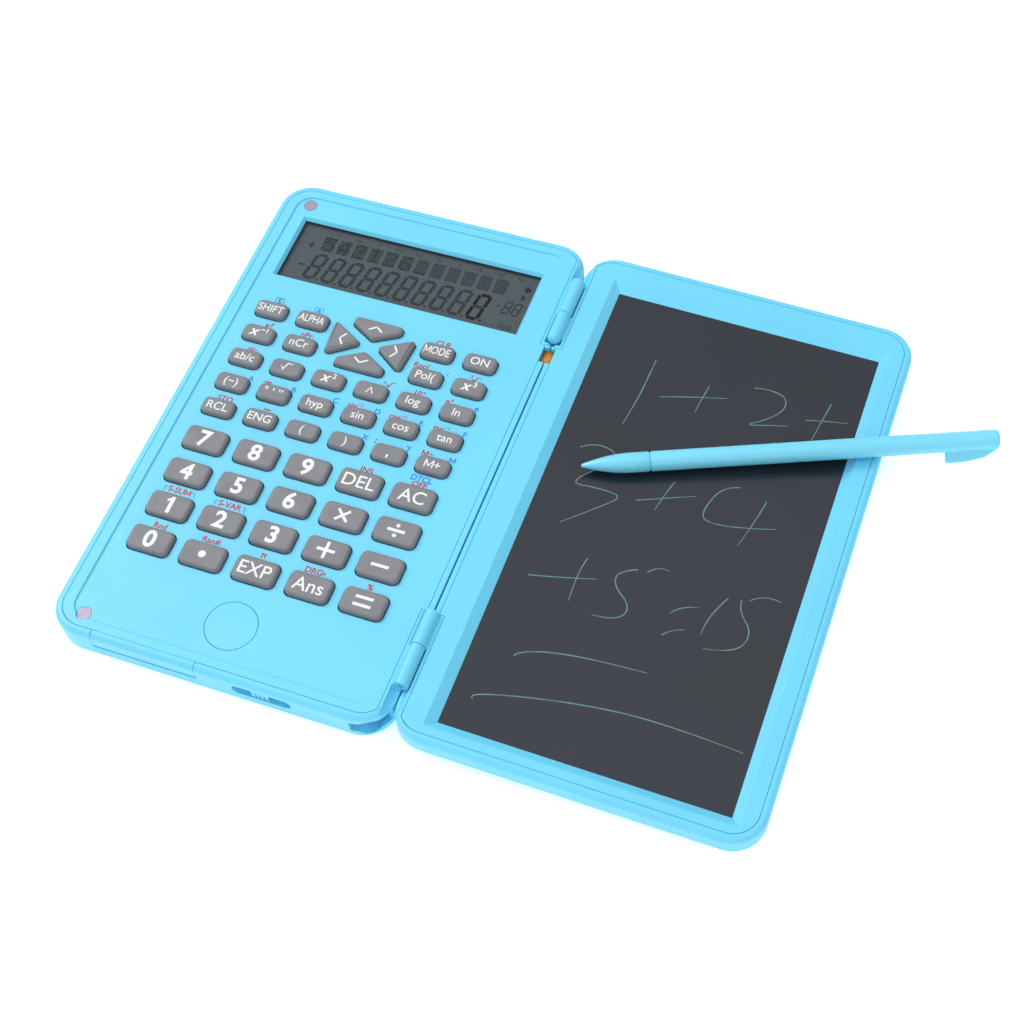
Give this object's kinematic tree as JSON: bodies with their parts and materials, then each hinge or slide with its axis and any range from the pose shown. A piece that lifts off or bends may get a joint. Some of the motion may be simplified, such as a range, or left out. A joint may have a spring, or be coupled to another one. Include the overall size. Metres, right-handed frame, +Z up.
{
  "type": "folding calculator with writing tablet",
  "caption": "Folding scientific calculator whose hinged cover is a pressure writing tablet, lying open with its stylus across the writing screen.",
  "frame": {"origin": "middle of the calculator half's flat underside", "axes": "+X across the open object from the calculator to the tablet, +Y up the spine towards the display end, +Z up out of the keys"},
  "size_m": [0.2269, 0.165, 0.013],
  "materials": {
    "shell": "satin moulded plastic, cyan",
    "keys": "satin grey keys with white printed legends",
    "lens": "clear display window",
    "display": "grey green liquid crystal display",
    "screen_film": "dark pressure writing film",
    "inner_plastic": "plain inner moulding",
    "rubber": "silicone",
    "board": "green circuit board",
    "cable_film": "amber flat cable",
    "magnet": "dull grey plated",
    "screw_steel": "zinc plated",
    "spring_metal": "spring brass",
    "cell_steel": "bright steel"
  },
  "bodies": {
    "calculator": {"lower_case": "shell", "face_plate": "shell", "display_lens": "lens", "display_panel": "display", "display_connector": "rubber", "circuit_board": "board", "key_mat": "rubber", "battery_contacts": "spring_metal", "closure_magnets": "magnet", "case_screws": "screw_steel", "hinge_pins": "screw_steel", "flex_cable": "cable_film", "stylus_sleeve": "inner_plastic"},
    "tablet": {"tablet_case": "shell", "tablet_bezel": "shell", "writing_screen": "screen_film", "screen_backing": "inner_plastic", "tablet_board": "board", "catch_plates": "screw_steel", "tablet_screws": "screw_steel"},
    "stylus": {"stylus_barrel": "shell", "stylus_tip": "shell"},
    "drawer": {"battery_drawer": "shell", "coin_cell": "cell_steel"},
    "lock": {"lock_slider": "shell"},
    "eraser": {"erase_button": "shell"},
    "key_shift": {"key_shift": "keys"},
    "key_alpha": {"key_alpha": "keys"},
    "key_mode": {"key_mode": "keys"},
    "key_on": {"key_on": "keys"},
    "key_7": {"key_7": "keys"},
    "key_8": {"key_8": "keys"},
    "key_9": {"key_9": "keys"},
    "key_delete": {"key_delete": "keys"},
    "key_clear": {"key_clear": "keys"},
    "key_4": {"key_4": "keys"},
    "key_5": {"key_5": "keys"},
    "key_6": {"key_6": "keys"},
    "key_times": {"key_times": "keys"},
    "key_divide": {"key_divide": "keys"},
    "key_1": {"key_1": "keys"},
    "key_2": {"key_2": "keys"},
    "key_3": {"key_3": "keys"},
    "key_plus": {"key_plus": "keys"},
    "key_minus": {"key_minus": "keys"},
    "key_0": {"key_0": "keys"},
    "key_point": {"key_point": "keys"},
    "key_exponent": {"key_exponent": "keys"},
    "key_answer": {"key_answer": "keys"},
    "key_equals": {"key_equals": "keys"},
    "function_keys_row_1": {"function_keys_row_1": "keys"},
    "function_keys_row_2": {"function_keys_row_2": "keys"},
    "function_keys_row_3": {"function_keys_row_3": "keys"},
    "function_keys_row_4": {"function_keys_row_4": "keys"},
    "cursor_up": {"cursor_up": "keys"},
    "cursor_down": {"cursor_down": "keys"},
    "cursor_left": {"cursor_left": "keys"},
    "cursor_right": {"cursor_right": "keys"}
  },
  "joints": [
    {"name": "tablet_fold", "type": "hinge", "parent": "calculator", "child": "tablet", "pos_m": [0.04935, 0, 0.0101], "axis": [0, -1, 0], "range_deg": [0, 181.83], "deforming": ["flex_cable"]},
    {"name": "stylus_away", "type": "slide", "parent": "tablet", "child": "stylus", "axis": [0.9253, 0.3793, -0.0042], "range_m": [0, 0.0862]},
    {"name": "drawer_slide", "type": "slide", "parent": "calculator", "child": "drawer", "axis": [0, -1, 0], "range_m": [0, 0.024]},
    {"name": "lock_slide", "type": "slide", "parent": "calculator", "child": "lock", "axis": [1, 0, 0], "range_m": [-0.004, 0.004]},
    {"name": "erase_press", "type": "slide", "parent": "calculator", "child": "eraser", "axis": [0, 0, -1], "range_m": [0, 0.0006], "stiffness_N_per_m": 900, "deforming": ["key_mat"]},
    {"name": "key_shift_press", "type": "slide", "parent": "calculator", "child": "key_shift", "axis": [0, 0, -1], "range_m": [0, 0.0009], "stiffness_N_per_m": 700, "deforming": ["key_mat"]},
    {"name": "key_alpha_press", "type": "slide", "parent": "calculator", "child": "key_alpha", "axis": [0, 0, -1], "range_m": [0, 0.0009], "stiffness_N_per_m": 700, "deforming": ["key_mat"]},
    {"name": "key_mode_press", "type": "slide", "parent": "calculator", "child": "key_mode", "axis": [0, 0, -1], "range_m": [0, 0.0009], "stiffness_N_per_m": 700, "deforming": ["key_mat"]},
    {"name": "key_on_press", "type": "slide", "parent": "calculator", "child": "key_on", "axis": [0, 0, -1], "range_m": [0, 0.0009], "stiffness_N_per_m": 700, "deforming": ["key_mat"]},
    {"name": "key_7_press", "type": "slide", "parent": "calculator", "child": "key_7", "axis": [0, 0, -1], "range_m": [0, 0.0009], "stiffness_N_per_m": 700, "deforming": ["key_mat"]},
    {"name": "key_8_press", "type": "slide", "parent": "calculator", "child": "key_8", "axis": [0, 0, -1], "range_m": [0, 0.0009], "stiffness_N_per_m": 700, "deforming": ["key_mat"]},
    {"name": "key_9_press", "type": "slide", "parent": "calculator", "child": "key_9", "axis": [0, 0, -1], "range_m": [0, 0.0009], "stiffness_N_per_m": 700, "deforming": ["key_mat"]},
    {"name": "key_delete_press", "type": "slide", "parent": "calculator", "child": "key_delete", "axis": [0, 0, -1], "range_m": [0, 0.0009], "stiffness_N_per_m": 700, "deforming": ["key_mat"]},
    {"name": "key_clear_press", "type": "slide", "parent": "calculator", "child": "key_clear", "axis": [0, 0, -1], "range_m": [0, 0.0009], "stiffness_N_per_m": 700, "deforming": ["key_mat"]},
    {"name": "key_4_press", "type": "slide", "parent": "calculator", "child": "key_4", "axis": [0, 0, -1], "range_m": [0, 0.0009], "stiffness_N_per_m": 700, "deforming": ["key_mat"]},
    {"name": "key_5_press", "type": "slide", "parent": "calculator", "child": "key_5", "axis": [0, 0, -1], "range_m": [0, 0.0009], "stiffness_N_per_m": 700, "deforming": ["key_mat"]},
    {"name": "key_6_press", "type": "slide", "parent": "calculator", "child": "key_6", "axis": [0, 0, -1], "range_m": [0, 0.0009], "stiffness_N_per_m": 700, "deforming": ["key_mat"]},
    {"name": "key_times_press", "type": "slide", "parent": "calculator", "child": "key_times", "axis": [0, 0, -1], "range_m": [0, 0.0009], "stiffness_N_per_m": 700, "deforming": ["key_mat"]},
    {"name": "key_divide_press", "type": "slide", "parent": "calculator", "child": "key_divide", "axis": [0, 0, -1], "range_m": [0, 0.0009], "stiffness_N_per_m": 700, "deforming": ["key_mat"]},
    {"name": "key_1_press", "type": "slide", "parent": "calculator", "child": "key_1", "axis": [0, 0, -1], "range_m": [0, 0.0009], "stiffness_N_per_m": 700, "deforming": ["key_mat"]},
    {"name": "key_2_press", "type": "slide", "parent": "calculator", "child": "key_2", "axis": [0, 0, -1], "range_m": [0, 0.0009], "stiffness_N_per_m": 700, "deforming": ["key_mat"]},
    {"name": "key_3_press", "type": "slide", "parent": "calculator", "child": "key_3", "axis": [0, 0, -1], "range_m": [0, 0.0009], "stiffness_N_per_m": 700, "deforming": ["key_mat"]},
    {"name": "key_plus_press", "type": "slide", "parent": "calculator", "child": "key_plus", "axis": [0, 0, -1], "range_m": [0, 0.0009], "stiffness_N_per_m": 700, "deforming": ["key_mat"]},
    {"name": "key_minus_press", "type": "slide", "parent": "calculator", "child": "key_minus", "axis": [0, 0, -1], "range_m": [0, 0.0009], "stiffness_N_per_m": 700, "deforming": ["key_mat"]},
    {"name": "key_0_press", "type": "slide", "parent": "calculator", "child": "key_0", "axis": [0, 0, -1], "range_m": [0, 0.0009], "stiffness_N_per_m": 700, "deforming": ["key_mat"]},
    {"name": "key_point_press", "type": "slide", "parent": "calculator", "child": "key_point", "axis": [0, 0, -1], "range_m": [0, 0.0009], "stiffness_N_per_m": 700, "deforming": ["key_mat"]},
    {"name": "key_exponent_press", "type": "slide", "parent": "calculator", "child": "key_exponent", "axis": [0, 0, -1], "range_m": [0, 0.0009], "stiffness_N_per_m": 700, "deforming": ["key_mat"]},
    {"name": "key_answer_press", "type": "slide", "parent": "calculator", "child": "key_answer", "axis": [0, 0, -1], "range_m": [0, 0.0009], "stiffness_N_per_m": 700, "deforming": ["key_mat"]},
    {"name": "key_equals_press", "type": "slide", "parent": "calculator", "child": "key_equals", "axis": [0, 0, -1], "range_m": [0, 0.0009], "stiffness_N_per_m": 700, "deforming": ["key_mat"]},
    {"name": "function_keys_row_1_press", "type": "slide", "parent": "calculator", "child": "function_keys_row_1", "axis": [0, 0, -1], "range_m": [0, 0.0009], "stiffness_N_per_m": 2800, "deforming": ["key_mat"]},
    {"name": "function_keys_row_2_press", "type": "slide", "parent": "calculator", "child": "function_keys_row_2", "axis": [0, 0, -1], "range_m": [0, 0.0009], "stiffness_N_per_m": 4200, "deforming": ["key_mat"]},
    {"name": "function_keys_row_3_press", "type": "slide", "parent": "calculator", "child": "function_keys_row_3", "axis": [0, 0, -1], "range_m": [0, 0.0009], "stiffness_N_per_m": 4200, "deforming": ["key_mat"]},
    {"name": "function_keys_row_4_press", "type": "slide", "parent": "calculator", "child": "function_keys_row_4", "axis": [0, 0, -1], "range_m": [0, 0.0009], "stiffness_N_per_m": 4200, "deforming": ["key_mat"]},
    {"name": "cursor_up_press", "type": "slide", "parent": "calculator", "child": "cursor_up", "axis": [0, 0, -1], "range_m": [0, 0.0009], "stiffness_N_per_m": 700, "deforming": ["key_mat"]},
    {"name": "cursor_down_press", "type": "slide", "parent": "calculator", "child": "cursor_down", "axis": [0, 0, -1], "range_m": [0, 0.0009], "stiffness_N_per_m": 700, "deforming": ["key_mat"]},
    {"name": "cursor_left_press", "type": "slide", "parent": "calculator", "child": "cursor_left", "axis": [0, 0, -1], "range_m": [0, 0.0009], "stiffness_N_per_m": 700, "deforming": ["key_mat"]},
    {"name": "cursor_right_press", "type": "slide", "parent": "calculator", "child": "cursor_right", "axis": [0, 0, -1], "range_m": [0, 0.0009], "stiffness_N_per_m": 700, "deforming": ["key_mat"]}
  ],
  "couplings": [
    {"joint": "stylus_away", "follows": "tablet_fold", "m_per_rad": 0.0271}
  ]
}
